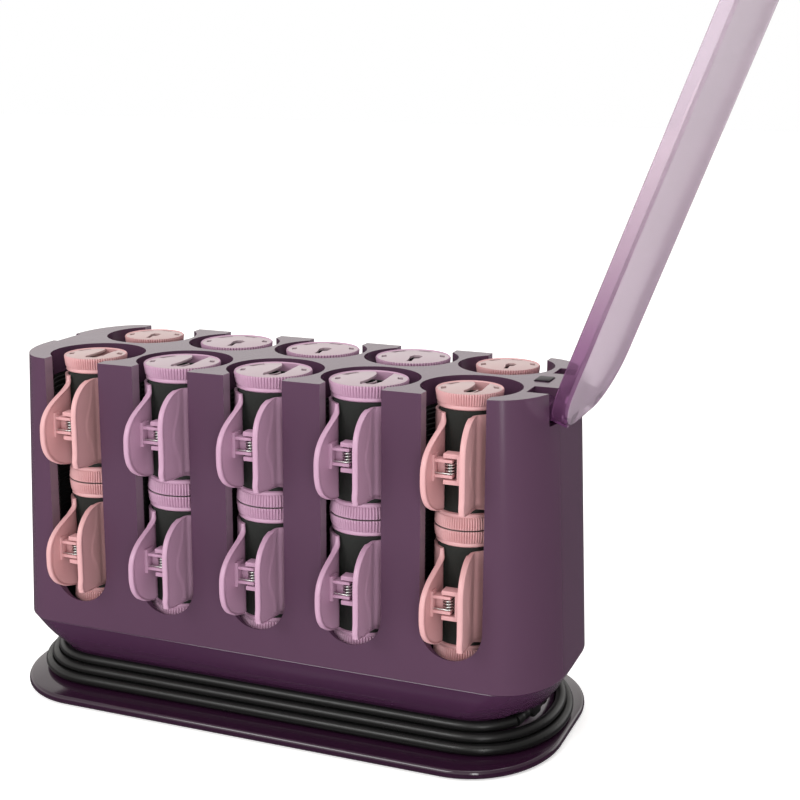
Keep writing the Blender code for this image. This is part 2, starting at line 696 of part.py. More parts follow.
def make_plug():
    """A moulded two-blade plug that stands on the ledge behind the winding."""
    rubber = material("plug_rubber", (0.014, 0.014, 0.014), 0.45)
    low = [c - s / 2 for c, s in zip(PLUG_AT, PLUG_BODY)]
    high = [c + s / 2 for c, s in zip(PLUG_AT, PLUG_BODY)]
    plug = add_part("plug", block("plug", low, high), rubber)
    length, width, thickness = PLUG_BLADE
    for side in (-1, 1):
        z = PLUG_AT.z + side * PLUG_BLADE_SPACING / 2
        blade = block(
            "plug_blade",
            (high[0] - 0.002, PLUG_AT.y - width / 2, z - thickness / 2),
            (high[0] + length, PLUG_AT.y + width / 2, z + thickness / 2),
        )
        boolean(plug, add_cutter(f"plug_blade_{side}", blade), "UNION")
    reach, at_body, at_cord = PLUG_NECK
    root = (low[0] + 0.001, PLUG_AT.y, PLUG_AT.z)
    neck = rods("plug_neck", [(root, (low[0] - reach, PLUG_AT.y, PLUG_AT.z), at_body, at_cord)], 12)
    boolean(plug, add_cutter("plug_neck", neck), "UNION")


def make_strain_relief():
    relief = rods("strain_relief", [(RELIEF_FROM, RELIEF_TO, *RELIEF_RADII)], 12)
    add_part("strain_relief", relief, material("relief_rubber", (0.012, 0.012, 0.012), 0.5))


def main():
    well = well_cutter()
    slot = slot_cutter()
    make_case(well, slot)
    make_case_fittings()
    make_chamber(well, slot)
    make_heater()
    make_base()
    make_lid()
    make_rollers()
    make_strain_relief()
    make_winding()
    make_tail()
    make_plug()


main()
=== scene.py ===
import math

import bmesh
import bpy
import numpy as np
from mathutils import Matrix, Vector


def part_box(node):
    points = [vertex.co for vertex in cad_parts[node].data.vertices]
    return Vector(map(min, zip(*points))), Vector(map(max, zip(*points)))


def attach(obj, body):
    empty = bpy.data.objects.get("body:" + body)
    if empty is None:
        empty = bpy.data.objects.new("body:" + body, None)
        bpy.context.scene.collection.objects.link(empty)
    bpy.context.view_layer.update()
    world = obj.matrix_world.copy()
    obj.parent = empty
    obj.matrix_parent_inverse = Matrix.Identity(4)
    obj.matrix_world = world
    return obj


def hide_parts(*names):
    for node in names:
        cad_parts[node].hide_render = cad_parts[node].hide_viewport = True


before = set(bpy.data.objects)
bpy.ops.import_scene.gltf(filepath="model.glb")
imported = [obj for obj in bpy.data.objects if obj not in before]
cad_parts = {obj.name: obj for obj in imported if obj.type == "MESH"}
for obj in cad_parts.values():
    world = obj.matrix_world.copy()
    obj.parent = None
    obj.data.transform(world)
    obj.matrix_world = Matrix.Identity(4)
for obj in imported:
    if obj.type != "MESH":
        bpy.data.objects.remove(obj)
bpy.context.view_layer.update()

MM = 0.001

# The view: where the camera stands, its azimuth, pitch and roll in degrees, and its lens
CAMERA_AT = (0.29997, -0.61998, 0.30811)
CAMERA_TURN_DEG = (21.794, 13.139, 0.301)
CAMERA_LENS_MM = 66.04

# The set, as part.py builds it
COLUMN_PITCH = 0.04795
COLUMNS = 5
ROLLER_Y = 0.0272
WELL_Y = 0.0248
WELL_RADIUS = 0.0228
WELL_FLOOR_Z = 0.0446
SLOT_HALF_WIDTH = 0.0149
SLOT_BOTTOM_Z = 0.0478
DECK_Z = 0.156
CASE_TOP_Z = 0.168
CASE_BOTTOM_Z = 0.035
CASE_TOP = ((0.1335, 0.0484), (0.0235, 0.0350))
CASE_BOTTOM = ((0.1398, 0.0485), (0.0260, 0.0360))
CASE_WALL = 0.003
JAMB_EXTRA = 0.0041
ROLLER_LENGTH = 0.0614
RING_HEIGHT = 0.0076
LARGE = (0.015875, 0.01825, 0.0170)
SMALL = (0.012700, 0.01520, 0.0140)
ROLLER_WALL = 0.0030
ROLLER_END = 0.0040
CAP_SUNK = 0.0006  # below the top ring's rim
CLIP_PIN_Y = -0.0233
CLIP_PIN_RADIUS = 0.0009
CLAW_REACH = math.radians(76.0)  # how far round from a well's front a large clip's squeezed claws come
WAIST = ((0.1260, 0.0398), (0.0277, 0.0357))
WAIST_FLARE = 0.0080
FOOT_WALL = 0.0030
FLANGE = ((0.1395, 0.0653), (0.0420, 0.0490))
FLANGE_THICKNESS = 0.0042

# The lid as it lies when shut, its arms, and the notches that they turn in
LID_PIVOT = Vector((0.1280, 0.0, 0.1610))
LID_OPEN_DEG = 110.5
LID_X = (-0.1340, 0.1315)
LID_HALF_DEPTH = 0.0489
LID_CORNER = (0.0240, 0.0355)
LID_Z = (0.1687, 0.1755)
LID_SKIN = 0.0020
LID_EDGE = 0.0016
LID_OPEN_END = (0.1230, 0.0280)  # the rim is left out beyond this X, within this half depth
ARM_X = (0.1245, 0.1310)
ARM_Y = (0.0155, 0.0260)
KNUCKLE_RADIUS = 0.0042
PIN_BORE = 0.0018
NOTCH_X = 0.1215
NOTCH_Y = (0.0145, 0.0270)
NOTCH_BOTTOM_Z = 0.1535
CATCH_RECESS = ((-0.150, -0.008, 0.1565), (-0.131, 0.012, 0.180))
ABOVE_CASE_Z = 0.180
LENS_MARGIN = 0.0003

# The cord: turns round the waist, each outside and below the one before
CORD_DIAMETER = 0.0052
TURN_STEP = (0.0034, 0.0039)
FIRST_TURN_Z = 0.0149
FIRST_TURN = ((0.1289, 0.0427), (0.0306, 0.0386))
TURNS = 3
RAMP_DEG = 75.0
RELIEF_DEG = 310.0
TAIL_X = 0.0080
RELIEF_FROM = Vector((0.1265, -0.0090, 0.0197))
RELIEF_TO = Vector((0.1210, -0.0299, 0.0159))
PLUG_AT = Vector((0.0770, 0.0575, 0.0145))
PLUG_BODY = (0.0300, 0.0124, 0.0200)
PLUG_NECK = 0.0100
PLUG_BLADE = (0.0160, 0.0063, 0.0015)
PLUG_BLADE_SPACING = 0.0127
RELIEF_RADII = (0.0037, 0.0029)

# Roller caps: openings as shares of the cap's radius, slots in degrees, +Y away from the front of the set
CAP_TURN = math.radians(21.8)
FRONT_OPENING = (
    (0.12, 1.10), (0.19, 0.60), (0.18, 0.38), (0.10, 0.05), (-0.02, -0.25), (-0.14, -0.43), (-0.22, -0.50),
    (-0.22, -0.70), (0.14, -0.74), (0.34, -0.50), (0.47, -0.12), (0.60, 0.38), (0.72, 1.10),
)
BACK_OPENING = (
    (-0.20, -0.72), (-0.13, -0.50), (-0.09, -0.20), (0.02, -0.04), (0.18, -0.04), (0.27, -0.18),
    (0.16, -0.42), (0.02, -0.46), (-0.06, -0.72),
)
FRONT_SLOTS = ((112, 146),)
BACK_SLOTS = ((50, 78), (105, 136))

# Clip jaws: how far each reaches past the front of the barrel at each height, in millimetres
LEFT_REACH = (
    (21.5, 0.0), (19.0, 0.8), (16.5, 3.5), (13.5, 9.5), (10.5, 15.0), (6.5, 19.5), (2.0, 21.8), (-3.0, 22.3),
    (-9.0, 21.8), (-14.0, 19.5), (-18.0, 15.0), (-20.5, 9.0), (-21.5, 4.0),
)
RIGHT_REACH = (
    (21.5, 6.0), (20.8, 10.0), (19.0, 14.5), (16.0, 18.5), (12.0, 21.2), (8.0, 22.2), (0.0, 22.3),
    (-10.0, 22.3), (-16.5, 22.3), (-18.0, 21.0), (-19.0, 14.0), (-19.8, 5.0), (-21.5, -6.0),
)
JAW_THICKNESS = 0.0014
JAW_HALF_HEIGHT = 0.0213
JAW_CLEARANCE = 0.0009
JAW_ARC_DEG = (50.0, -62.0)
JAW_TIP = (0.0092, -0.0376)
RIM_WIDTH = 0.0020
RIM_THICKNESS = 0.0026


# -------- camera and light

def add_camera():
    """The photograph's view: its direction from the azimuth and the pitch, and a slight roll."""
    azimuth, pitch, roll = (math.radians(angle) for angle in CAMERA_TURN_DEG)
    level = math.cos(pitch)
    ahead = Vector((-math.sin(azimuth) * level, math.cos(azimuth) * level, -math.sin(pitch)))
    right = Vector((math.cos(azimuth), math.sin(azimuth), 0.0))
    up = right.cross(ahead)
    rolled_right = math.cos(roll) * right + math.sin(roll) * up
    rolled_up = math.cos(roll) * up - math.sin(roll) * right
    data = bpy.data.cameras.new("camera")
    data.sensor_width = 36.0
    data.lens = CAMERA_LENS_MM
    data.clip_start = 0.01
    data.clip_end = 50.0
    camera = bpy.data.objects.new("camera", data)
    bpy.context.scene.collection.objects.link(camera)
    turn = Matrix((rolled_right, rolled_up, -ahead)).transposed()
    camera.matrix_world = Matrix.Translation(CAMERA_AT) @ turn.to_4x4()
    bpy.context.scene.camera = camera


def add_light(name, place, target, size, power):
    data = bpy.data.lights.new(name, "AREA")
    data.shape = "RECTANGLE"
    data.size, data.size_y = size
    data.energy = power
    light = bpy.data.objects.new(name, data)
    light.location = place
    aim = Vector(target) - Vector(place)
    light.rotation_euler = aim.to_track_quat("-Z", "Y").to_euler()
    bpy.context.scene.collection.objects.link(light)


def map_range(tree, factor, source, result=(0.0, 1.0)):
    """The factor mapped from one range to another."""
    node = tree.nodes.new("ShaderNodeMapRange")
    node.inputs["From Min"].default_value, node.inputs["From Max"].default_value = source
    node.inputs["To Min"].default_value, node.inputs["To Max"].default_value = result
    tree.links.new(factor, node.inputs["Value"])
    return node.outputs["Result"]


def make_world():
    """A white backdrop, and a studio to light from: bright above, darker below the horizon and towards +X."""
    world = bpy.data.worlds.new("studio")
    world.use_nodes = True
    nodes, links = world.node_tree.nodes, world.node_tree.links
    surroundings = nodes["Background"]
    backdrop = nodes.new("ShaderNodeBackground")
    backdrop.inputs["Color"].default_value = (1.0, 1.0, 1.0, 1.0)
    direction = nodes.new("ShaderNodeTexCoord")
    parts = nodes.new("ShaderNodeSeparateXYZ")
    ramp = nodes.new("ShaderNodeValToRGB")
    ramp.color_ramp.elements.remove(ramp.color_ramp.elements[1])
    ramp.color_ramp.elements[0].color = (0.10, 0.09, 0.10, 1.0)
    for place, level in ((0.22, 0.20), (0.34, 0.90), (0.60, 1.00), (1.0, 0.70)):
        ramp.color_ramp.elements.new(place).color = (level, level * 0.975, level * 0.945, 1.0)
    links.new(direction.outputs["Generated"], parts.inputs["Vector"])
    links.new(map_range(world.node_tree, parts.outputs["Z"], (-0.20, 0.60)), ramp.inputs["Fac"])
    strength = map_range(world.node_tree, parts.outputs["X"], (0.25, 0.95), (1.12, 0.40))
    links.new(strength, surroundings.inputs["Strength"])
    links.new(ramp.outputs["Color"], surroundings.inputs["Color"])
    rays = nodes.new("ShaderNodeLightPath")
    straight = nodes.new("ShaderNodeMath")
    straight.operation = "MAXIMUM"
    mix = nodes.new("ShaderNodeMixShader")
    links.new(rays.outputs["Is Camera Ray"], straight.inputs[0])
    links.new(rays.outputs["Is Transmission Ray"], straight.inputs[1])
    links.new(straight.outputs["Value"], mix.inputs["Fac"])
    links.new(surroundings.outputs["Background"], mix.inputs[1])
    links.new(backdrop.outputs["Background"], mix.inputs[2])
    links.new(mix.outputs["Shader"], nodes["World Output"].inputs["Surface"])
    return world


def add_studio():
    scene = bpy.context.scene
    scene.view_settings.view_transform = "Standard"
    scene.world = make_world()
    add_light("key", (-0.45, -1.30, 1.05), (0, 0, 0.10), (0.9, 0.7), 10.5)
    add_light("top", (0.10, 0.20, 1.50), (0, 0, 0.10), (1.2, 0.9), 5.0)
    add_light("rim", (0.95, 1.20, 0.30), (0, 0, 0.12), (0.8, 0.8), 1.5)
    add_light("strip", (0.75, -1.15, 0.35), (0.1, 0, 0.10), (0.18, 0.9), 4.0)
    mesh = bpy.data.meshes.new("floor")
    size = 6.0
    corners = [(-size, -size, 0), (size, -size, 0), (size, size, 0), (-size, size, 0)]
    mesh.from_pydata(corners, [], [(0, 1, 2, 3)])
    floor = bpy.data.objects.new("floor", mesh)
    floor.location.z = -0.0005
    scene.collection.objects.link(floor)
    pale = bpy.data.materials.new("floor")
    pale.use_nodes = True
    shader = pale.node_tree.nodes["Principled BSDF"]
    shader.inputs["Base Color"].default_value = (0.90, 0.90, 0.90, 1.0)
    shader.inputs["Roughness"].default_value = 0.75
    shader.inputs["Emission Color"].default_value = (1.0, 1.0, 1.0, 1.0)
    shader.inputs["Emission Strength"].default_value = 0.45
    mesh.materials.append(pale)
    floor.visible_glossy = False


# -------- materials

def new_material(name, colour, roughness, **sockets):
    made = bpy.data.materials.new(name)
    made.use_nodes = True
    shader = made.node_tree.nodes["Principled BSDF"]
    shader.inputs["Base Color"].default_value = (*colour, 1.0)
    shader.inputs["Roughness"].default_value = roughness
    for socket, value in sockets.items():
        shader.inputs[socket.replace("_", " ")].default_value = value
    return made


def noise(made, scale, detail=3.0, stretch=(1.0, 1.0, 1.0)):
    """A noise texture in the object's own metres, so it keeps its size."""
    nodes, links = made.node_tree.nodes, made.node_tree.links
    place = nodes.new("ShaderNodeTexCoord")
    mapping = nodes.new("ShaderNodeMapping")
    mapping.inputs["Scale"].default_value = stretch
    texture = nodes.new("ShaderNodeTexNoise")
    texture.inputs["Scale"].default_value = scale
    texture.inputs["Detail"].default_value = detail
    links.new(place.outputs["Object"], mapping.inputs["Vector"])
    links.new(mapping.outputs["Vector"], texture.inputs["Vector"])
    return texture.outputs["Fac"]


def vary(made, factor, socket, low, high):
    """Lets a factor run a number or a colour of the shader from low to high."""
    nodes, links = made.node_tree.nodes, made.node_tree.links
    ramp = nodes.new("ShaderNodeValToRGB")
    ends = [value if isinstance(value, tuple) else (value,) * 3 for value in (low, high)]
    for stop, place, colour in zip(ramp.color_ramp.elements, (0.25, 0.75), ends):
        stop.position = place
        stop.color = (*colour, 1.0)
    links.new(factor, ramp.inputs["Fac"])
    links.new(ramp.outputs["Color"], nodes["Principled BSDF"].inputs[socket])


def bump(made, height, distance, strength=1.0):
    nodes, links = made.node_tree.nodes, made.node_tree.links
    node = nodes.new("ShaderNodeBump")
    node.inputs["Distance"].default_value = distance
    node.inputs["Strength"].default_value = strength
    links.new(height, node.inputs["Height"])
    links.new(node.outputs["Normal"], nodes["Principled BSDF"].inputs["Normal"])


def plastic(name, colour, roughness, coat=0.0, shine=0.5):
    """Moulded plastic: a colour and a gloss that change slightly over the surface, and a very fine grain."""
    made = new_material(
        name, colour, roughness, Coat_Weight=coat, Coat_Roughness=0.08, Specular_IOR_Level=shine
    )
    vary(made, noise(made, 60.0), "Roughness", roughness - 0.008, roughness + 0.010)
    darker = tuple(value * 0.975 for value in colour)
    lighter = tuple(value * 1.025 for value in colour)
    vary(made, noise(made, 14.0), "Base Color", darker, lighter)
    bump(made, noise(made, 700.0, 2.0), 0.000004, 0.3)
    return made


def flocked(name, colour):
    """A velvety flocked barrel: short dark fibres that catch light at the edges."""
    made = new_material(name, colour, 0.85, Sheen_Weight=0.15, Sheen_Roughness=0.4)
    made.node_tree.nodes["Principled BSDF"].inputs["Sheen Tint"].default_value = (0.75, 0.85, 0.78, 1.0)
    darker = tuple(value * 0.55 for value in colour)
    lighter = tuple(value * 1.5 for value in colour)
    vary(made, noise(made, 2600.0, 4.0), "Base Color", darker, lighter)
    bump(made, noise(made, 3200.0, 4.0), 0.00012, 0.9)
    return made


def rubber(name):
    made = new_material(name, (0.006, 0.006, 0.006), 0.30, Specular_IOR_Level=0.35)
    vary(made, noise(made, 150.0), "Roughness", 0.26, 0.36)
    bump(made, noise(made, 1500.0), 0.00003, 0.6)
    return made


def metal(name, colour, roughness):
    made = new_material(name, colour, roughness, Metallic=1.0)
    vary(made, noise(made, 500.0, stretch=(1.0, 1.0, 0.1)), "Roughness", roughness - 0.05, roughness + 0.08)
    return made


def clear_plastic(name, colours):
    """The lid's see-through plastic, a little milky, with a run of colours from the hinge upwards."""
    made = new_material(
        name, colours[-1], 0.12, Transmission_Weight=0.72, IOR=1.12, Coat_Weight=0.10, Coat_Roughness=0.05
    )
    nodes, links = made.node_tree.nodes, made.node_tree.links
    place = nodes.new("ShaderNodeTexCoord")
    parts = nodes.new("ShaderNodeSeparateXYZ")
    links.new(place.outputs["Object"], parts.inputs["Vector"])
    along = map_range(made.node_tree, parts.outputs["Z"], (LID_PIVOT.z - 0.005, LID_PIVOT.z + 0.150))
    ramp = nodes.new("ShaderNodeValToRGB")
    stops = ramp.color_ramp.elements
    stops[0].color = (*colours[0], 1.0)
    stops[1].color = (*colours[-1], 1.0)
    for step, colour in enumerate(colours[1:-1], 1):
        stops.new(step / (len(colours) - 1)).color = (*colour, 1.0)
    links.new(along, ramp.inputs["Fac"])
    links.new(ramp.outputs["Color"], nodes["Principled BSDF"].inputs["Base Color"])
    vary(made, noise(made, 40.0), "Roughness", 0.115, 0.125)
    return made


LID_COLOURS = ((0.70, 0.59, 0.68), (0.72, 0.62, 0.70), (0.73, 0.64, 0.71))
LID_WALL_COLOURS = (
    (0.16, 0.05, 0.15),
    (0.28, 0.15, 0.26),
    (0.46, 0.34, 0.43),
    (0.60, 0.49, 0.57),
    (0.68, 0.58, 0.66),
)
MATERIALS = {
    "case": plastic("case_purple", (0.082, 0.038, 0.072), 0.22),
    # Painted highlight: a lighter purple for the slots' side faces, standing in for the light and reflection
    # that they catch
    "case_slot_painted_highlight": plastic("case_slot_edge_painted_highlight", (0.200, 0.140, 0.185), 0.30),
    "housing": plastic("housing_purple", (0.049, 0.016, 0.045), 0.22, coat=0.2),
    "base_plate": plastic("base_purple", (0.022, 0.006, 0.019), 0.12, coat=0.2),
    "chamber": plastic("chamber_black", (0.010, 0.010, 0.010), 0.45),
    "large": plastic("lilac_plastic", (0.470, 0.280, 0.400), 0.36),
    "small": plastic("pink_plastic", (0.620, 0.340, 0.350), 0.36),
    "large_cap": plastic("pale_lilac_cap", (0.420, 0.320, 0.360), 0.28),
    "small_cap": plastic("pale_pink_cap", (0.480, 0.330, 0.325), 0.28),
    "barrel": flocked("flocked_barrel", (0.012, 0.014, 0.012)),
    "cord": rubber("cord_rubber"),
    "steel": metal("spring_steel", (0.62, 0.62, 0.60), 0.28),
    "aluminium": metal("heater_aluminium", (0.72, 0.72, 0.74), 0.38),
    "ceramic": plastic("thermostat_ceramic", (0.55, 0.48, 0.36), 0.5),
    "brass": metal("plug_blade", (0.75, 0.68, 0.50), 0.25),
    "lid": clear_plastic("lid_panel", LID_COLOURS),
    "lid_wall": clear_plastic("lid_wall", LID_WALL_COLOURS),
    "lens": plastic("lens_violet", (0.012, 0.006, 0.012), 0.35, shine=0.1),
    "trim": plastic("catch_dark", (0.020, 0.010, 0.018), 0.3),
}


# -------- mesh helpers

def mesh_object(name, mesh, finish):
    made = bpy.data.objects.new(name, mesh)
    bpy.context.scene.collection.objects.link(made)
    if not mesh.materials:
        mesh.materials.append(MATERIALS[finish])
    return made


def base_piece(name, mesh, finish, slot, *nodes):
    """A visible piece on the base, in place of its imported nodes."""
    made = mesh_object(name, mesh, finish)
    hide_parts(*nodes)
    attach(made, "base")
    return made


def finished(shape, name, angle=35.0):
    """Turns a bmesh into a mesh with outward normals and smooth shading."""
    bmesh.ops.recalc_face_normals(shape, faces=shape.faces)
    mesh = bpy.data.meshes.new(name)
    shape.to_mesh(mesh)
    shape.free()
    mesh.shade_smooth()
    mesh.set_sharp_from_angle(angle=math.radians(angle))
    return mesh


def strips(shape, rings, closed_along=False, closed_round=True, caps=True):
    """Faces between rings of points: a loft, a sweep or a turned shape."""
    made = [[shape.verts.new(point) for point in ring] for ring in rings]
    pairs = list(zip(made, made[1:] + made[:1])) if closed_along else list(zip(made, made[1:]))
    for ring, following in pairs:
        count = len(ring)
        for i in range(count if closed_round else count - 1):
            j = (i + 1) % count
            shape.faces.new((ring[i], ring[j], following[j], following[i]))
    if caps and not closed_along:
        shape.faces.new(reversed(made[0]))
        shape.faces.new(made[-1])
    return made


def corner_points(half, corner, steps):
    """The angle and the place of each point along the four elliptical corners of a rounded rectangle."""
    for quarter in range(4):
        sign_x = (1, -1, -1, 1)[quarter]
        sign_y = (1, 1, -1, -1)[quarter]
        for step in range(steps + 1):
            angle = 90.0 * (quarter + step / steps)
            x = sign_x * (half[0] - corner[0]) + corner[0] * math.cos(math.radians(angle))
            y = sign_y * (half[1] - corner[1]) + corner[1] * math.sin(math.radians(angle))
            yield angle, (x, y)


def outline(half, corner, z, steps=16, middle=0.0):
    return [(middle + x, y, z) for _, (x, y) in corner_points(half, corner, steps)]


def grown(sizes, by):
    """(half, corner) with every side moved out by that much."""
    return tuple(tuple(size + by for size in pair) for pair in sizes)


def box_mesh(shape, low, high, bevel=0.0):
    made = bmesh.ops.create_cube(shape, size=1.0)
    centre = (Vector(low) + Vector(high)) / 2
    size = Vector(high) - Vector(low)
    for vert in made["verts"]:
        vert.co = Vector(a * b for a, b in zip(vert.co, size)) + centre
    if bevel:
        edges = {edge for vert in made["verts"] for edge in vert.link_edges}
        bmesh.ops.bevel(shape, geom=list(edges), offset=bevel, segments=2, profile=0.6, affect="EDGES")


def rod_mesh(shape, start, end, radius, sides=32):
    along = Vector(end) - Vector(start)
    turn = along.to_track_quat("Z", "Y").to_matrix().to_4x4()
    place = Matrix.Translation((Vector(start) + Vector(end)) / 2) @ turn
    bmesh.ops.create_cone(
        shape,
        cap_ends=True,
        segments=sides,
        radius1=radius,
        radius2=radius,
        depth=along.length,
        matrix=place,
    )


def turned(shape, profile, sides, radius_at=None):
    """Turns a profile of (radius, z) about Z. radius_at may change the radius with the angle."""
    rings = []
    for step in range(sides):
        angle = 2 * math.pi * step / sides
        ring = []
        for index, (radius, z) in enumerate(profile):
            if radius_at:
                radius = radius_at(index, radius, angle)
            ring.append((radius * math.cos(angle), radius * math.sin(angle), z))
        rings.append(ring)
    strips(shape, rings, closed_along=True)


def cut(mesh, cutters, name, finish_bevel=0.0, angle=35.0):
    """The mesh after each (operation, cutter) in turn, with its sharp edges rounded if a bevel is given."""
    body = bpy.data.objects.new("cutting", mesh)
    bpy.context.scene.collection.objects.link(body)
    helpers = [body]
    for operation, cutter in cutters:
        helper = bpy.data.objects.new("cutter", cutter)
        bpy.context.scene.collection.objects.link(helper)
        helpers.append(helper)
        step = body.modifiers.new("cut", "BOOLEAN")
        step.operation = operation
        step.object = helper
    if finish_bevel:
        weld = body.modifiers.new("weld", "WELD")
        weld.merge_threshold = 0.00002
        soften = body.modifiers.new("soften", "BEVEL")
        soften.width = finish_bevel
        soften.segments = 2
        soften.limit_method = "ANGLE"
        soften.angle_limit = math.radians(40)
        soften.use_clamp_overlap = True
        soften.miter_outer = "MITER_ARC"
    bpy.context.view_layer.update()
    graph = bpy.context.evaluated_depsgraph_get()
    made = bpy.data.meshes.new_from_object(body.evaluated_get(graph))
    made.name = name
    made.materials.clear()
    for helper in helpers:
        bpy.data.objects.remove(helper)
    made.shade_smooth()
    made.set_sharp_from_angle(angle=math.radians(angle))
    return made


def even_shading(made):
    """Keeps large flat faces flat beside the rounded edges that a cut leaves."""
    normals = made.modifiers.new("normals", "WEIGHTED_NORMAL")
    normals.keep_sharp = True


def column_x(column):
    return (column - (COLUMNS - 1) / 2) * COLUMN_PITCH


def is_small(column):
    """The small rollers stand in the two end columns."""
    return column in (0, COLUMNS - 1)


def wells():
    return [(column, side) for side in (-1, 1) for column in range(COLUMNS)]


# -------- cord

def cord_path():
    """The cord's centreline: three turns round the waist from the strain relief, then out to the plug."""
    half, corner = FIRST_TURN
    loop = []
    stations = list(corner_points(half, corner, 12))
    for (angle, place), (next_angle, next_place) in zip(stations, stations[1:] + stations[:1]):
        outward = (math.cos(math.radians(angle)), math.sin(math.radians(angle)))
        loop.append((angle, place, outward))
        run = math.dist(place, next_place)
        if angle == next_angle:
            pieces = max(1, round(run / 0.012))
            for piece in range(1, pieces):
                mid = tuple(a + (b - a) * piece / pieces for a, b in zip(place, next_place))
                loop.append((angle, mid, outward))
    loop.reverse()
    first = next(i for i, station in enumerate(loop) if station[0] < RELIEF_DEG - 5.0)
    loop = loop[first:] + loop[:first]
    points = [tuple(RELIEF_TO)]
    for turn in range(TURNS):
        for angle, place, outward in loop:
            if turn == TURNS - 1 and place[1] > half[1] - 1e-6 and place[0] > TAIL_X:
                break
            level = turn
            if angle <= RAMP_DEG:
                level = turn + 1.0 - angle / RAMP_DEG
            elif angle >= RELIEF_DEG - 5.0:
                level = turn + 1.0
            across = level * TURN_STEP[0]
            x, y = (place[i] + across * outward[i] for i in range(2))
            points.append((x, y, FIRST_TURN_Z - level * TURN_STEP[1]))
    start = Vector(points[-1])
    end = PLUG_AT - Vector((PLUG_BODY[0] / 2 + PLUG_NECK, 0, 0))
    steps = 10
    for step in range(1, steps + 1):
        along = step / steps
        share = along * along * (3.0 - 2.0 * along)
        points.append((start.x + along * (end.x - start.x), *start.lerp(end, share).yz))
    return evened(points, 0.004)


def evened(points, spacing):
    """The same route with points at an even spacing, and its corners eased."""
    route = np.array(points)
    along = np.concatenate([[0.0], np.cumsum(np.linalg.norm(np.diff(route, axis=0), axis=1))])
    count = int(along[-1] / spacing)
    wanted = np.linspace(0.0, along[-1], count + 1)
    route = np.stack([np.interp(wanted, along, route[:, i]) for i in range(3)], axis=1)
    for _ in range(4):
        route[1:-1] = (route[:-2] + 2 * route[1:-1] + route[2:]) / 4
    return route


def make_cord():
    route = cord_path()
    data = bpy.data.curves.new("mains_cord", "CURVE")
    data.dimensions = "3D"
    data.bevel_depth = CORD_DIAMETER / 2
    data.bevel_resolution = 5
    data.use_fill_caps = True
    spline = data.splines.new("POLY")
    spline.points.add(len(route) - 1)
    for point, place in zip(spline.points, route):
        point.co = (*place, 1.0)
    data.materials.append(MATERIALS["cord"])
    cord = bpy.data.objects.new("mains_cord", data)
    bpy.context.scene.collection.objects.link(cord)
    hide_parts("cord_winding", "cord_tail")
    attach(cord, "base")
    relief = make_strain_relief()
    plug = make_plug()


def make_strain_relief():
    """A tapered rubber sleeve with bending grooves, and a square collar where it leaves the foot."""
    shape = bmesh.new()
    along = RELIEF_TO - RELIEF_FROM
    place = Matrix.Translation(RELIEF_FROM) @ along.to_track_quat("Z", "Y").to_matrix().to_4x4()
    grooves, groove_depth = 6, 0.0004
    profile = []
    steps = grooves * 4
    for step in range(steps + 1):
        share = step / steps
        radius = RELIEF_RADII[0] + share * (RELIEF_RADII[1] - RELIEF_RADII[0])
        if step % 4 in (2, 3) and step < steps - 2:
            radius -= groove_depth
        profile.append((radius, share * along.length))
    angles = np.linspace(0, 2 * math.pi, 32, False)
    strips(shape, [[(r * math.cos(a), r * math.sin(a), z) for a in angles] for r, z in profile])
    shape.transform(place)
    block = bmesh.new()
    half, bottom, top = 0.0036, 0.0050, 0.0120
    box_mesh(block, (-half, -half, bottom), (half, half, top), 0.0012)
    block.transform(place)
    collar = finished(block, "collar")
    shape.from_mesh(collar)
    bpy.data.meshes.remove(collar)
    mesh = finished(shape, "cord_strain_relief")
    return base_piece("cord_strain_relief", mesh, "cord", "cord", "strain_relief")


def make_plug():
    """A moulded plug: a rounded body with grip ribs, a tapered neck and two flat blades."""
    shape = bmesh.new()
    length, half_y, half_z = PLUG_BODY[0], PLUG_BODY[1] / 2, PLUG_BODY[2] / 2
    start = PLUG_AT.x - length / 2
    ridge = (half_y - 0.0002, half_z)
    valley = (half_y - 0.0009, half_z - 0.0008)
    neck = [(-PLUG_NECK, 0.0034, 0.0034), (-0.006, 0.0038, 0.0038), (-0.002, 0.0042, 0.0044)]
    body = [(0.0, 0.0046, 0.0062), (0.002, 0.0056, 0.0086), (0.005, half_y - 0.0002, half_z - 0.0004)]
    for rib in range(4):
        x = 0.008 + rib * 0.003
        body += [(x, *ridge), (x + 0.0008, *valley), (x + 0.0020, *valley), (x + 0.0026, *ridge)]
    body += [(0.022, half_y, half_z), (0.029, half_y, half_z), (length, half_y - 0.0009, half_z - 0.0009)]
    rings = []
    for x, y_size, z_size in neck + body:
        corner = min(y_size, z_size) * 0.85
        section = corner_points((y_size, z_size), (corner, corner), 6)
        rings.append([(start + x, PLUG_AT.y + y, PLUG_AT.z + z) for _, (y, z) in section])
    strips(shape, rings)
    plug = mesh_object("mains_plug", finished(shape, "mains_plug", 50.0), "cord")
    blades = bmesh.new()
    front = start + length
    blade_length, half_width, half_thick = PLUG_BLADE[0], PLUG_BLADE[1] / 2, PLUG_BLADE[2] / 2
    for side in (-1, 1):
        z = PLUG_AT.z + side * PLUG_BLADE_SPACING / 2
        low = (front - 0.002, PLUG_AT.y - half_width, z - half_thick)
        high = (front + blade_length, PLUG_AT.y + half_width, z + half_thick)
        box_mesh(blades, low, high, 0.0003)
    metal_part = mesh_object("mains_plug_blades", finished(blades, "mains_plug_blades"), "brass")
    metal_part.parent = plug
    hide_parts("plug")
    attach(plug, "base")
    return plug


# -------- case and foot

def case_sizes(z, inset=0.0):
    """The case's outline at a height, between its outlines at the bottom and at the top."""
    share = (z - CASE_BOTTOM_Z) / (CASE_TOP_Z - CASE_BOTTOM_Z)
    mixed = []
    for low_pair, top_pair in zip(CASE_BOTTOM, CASE_TOP):
        mixed.append(tuple(low + share * (top - low) for low, top in zip(low_pair, top_pair)))
    return grown(mixed, -inset)


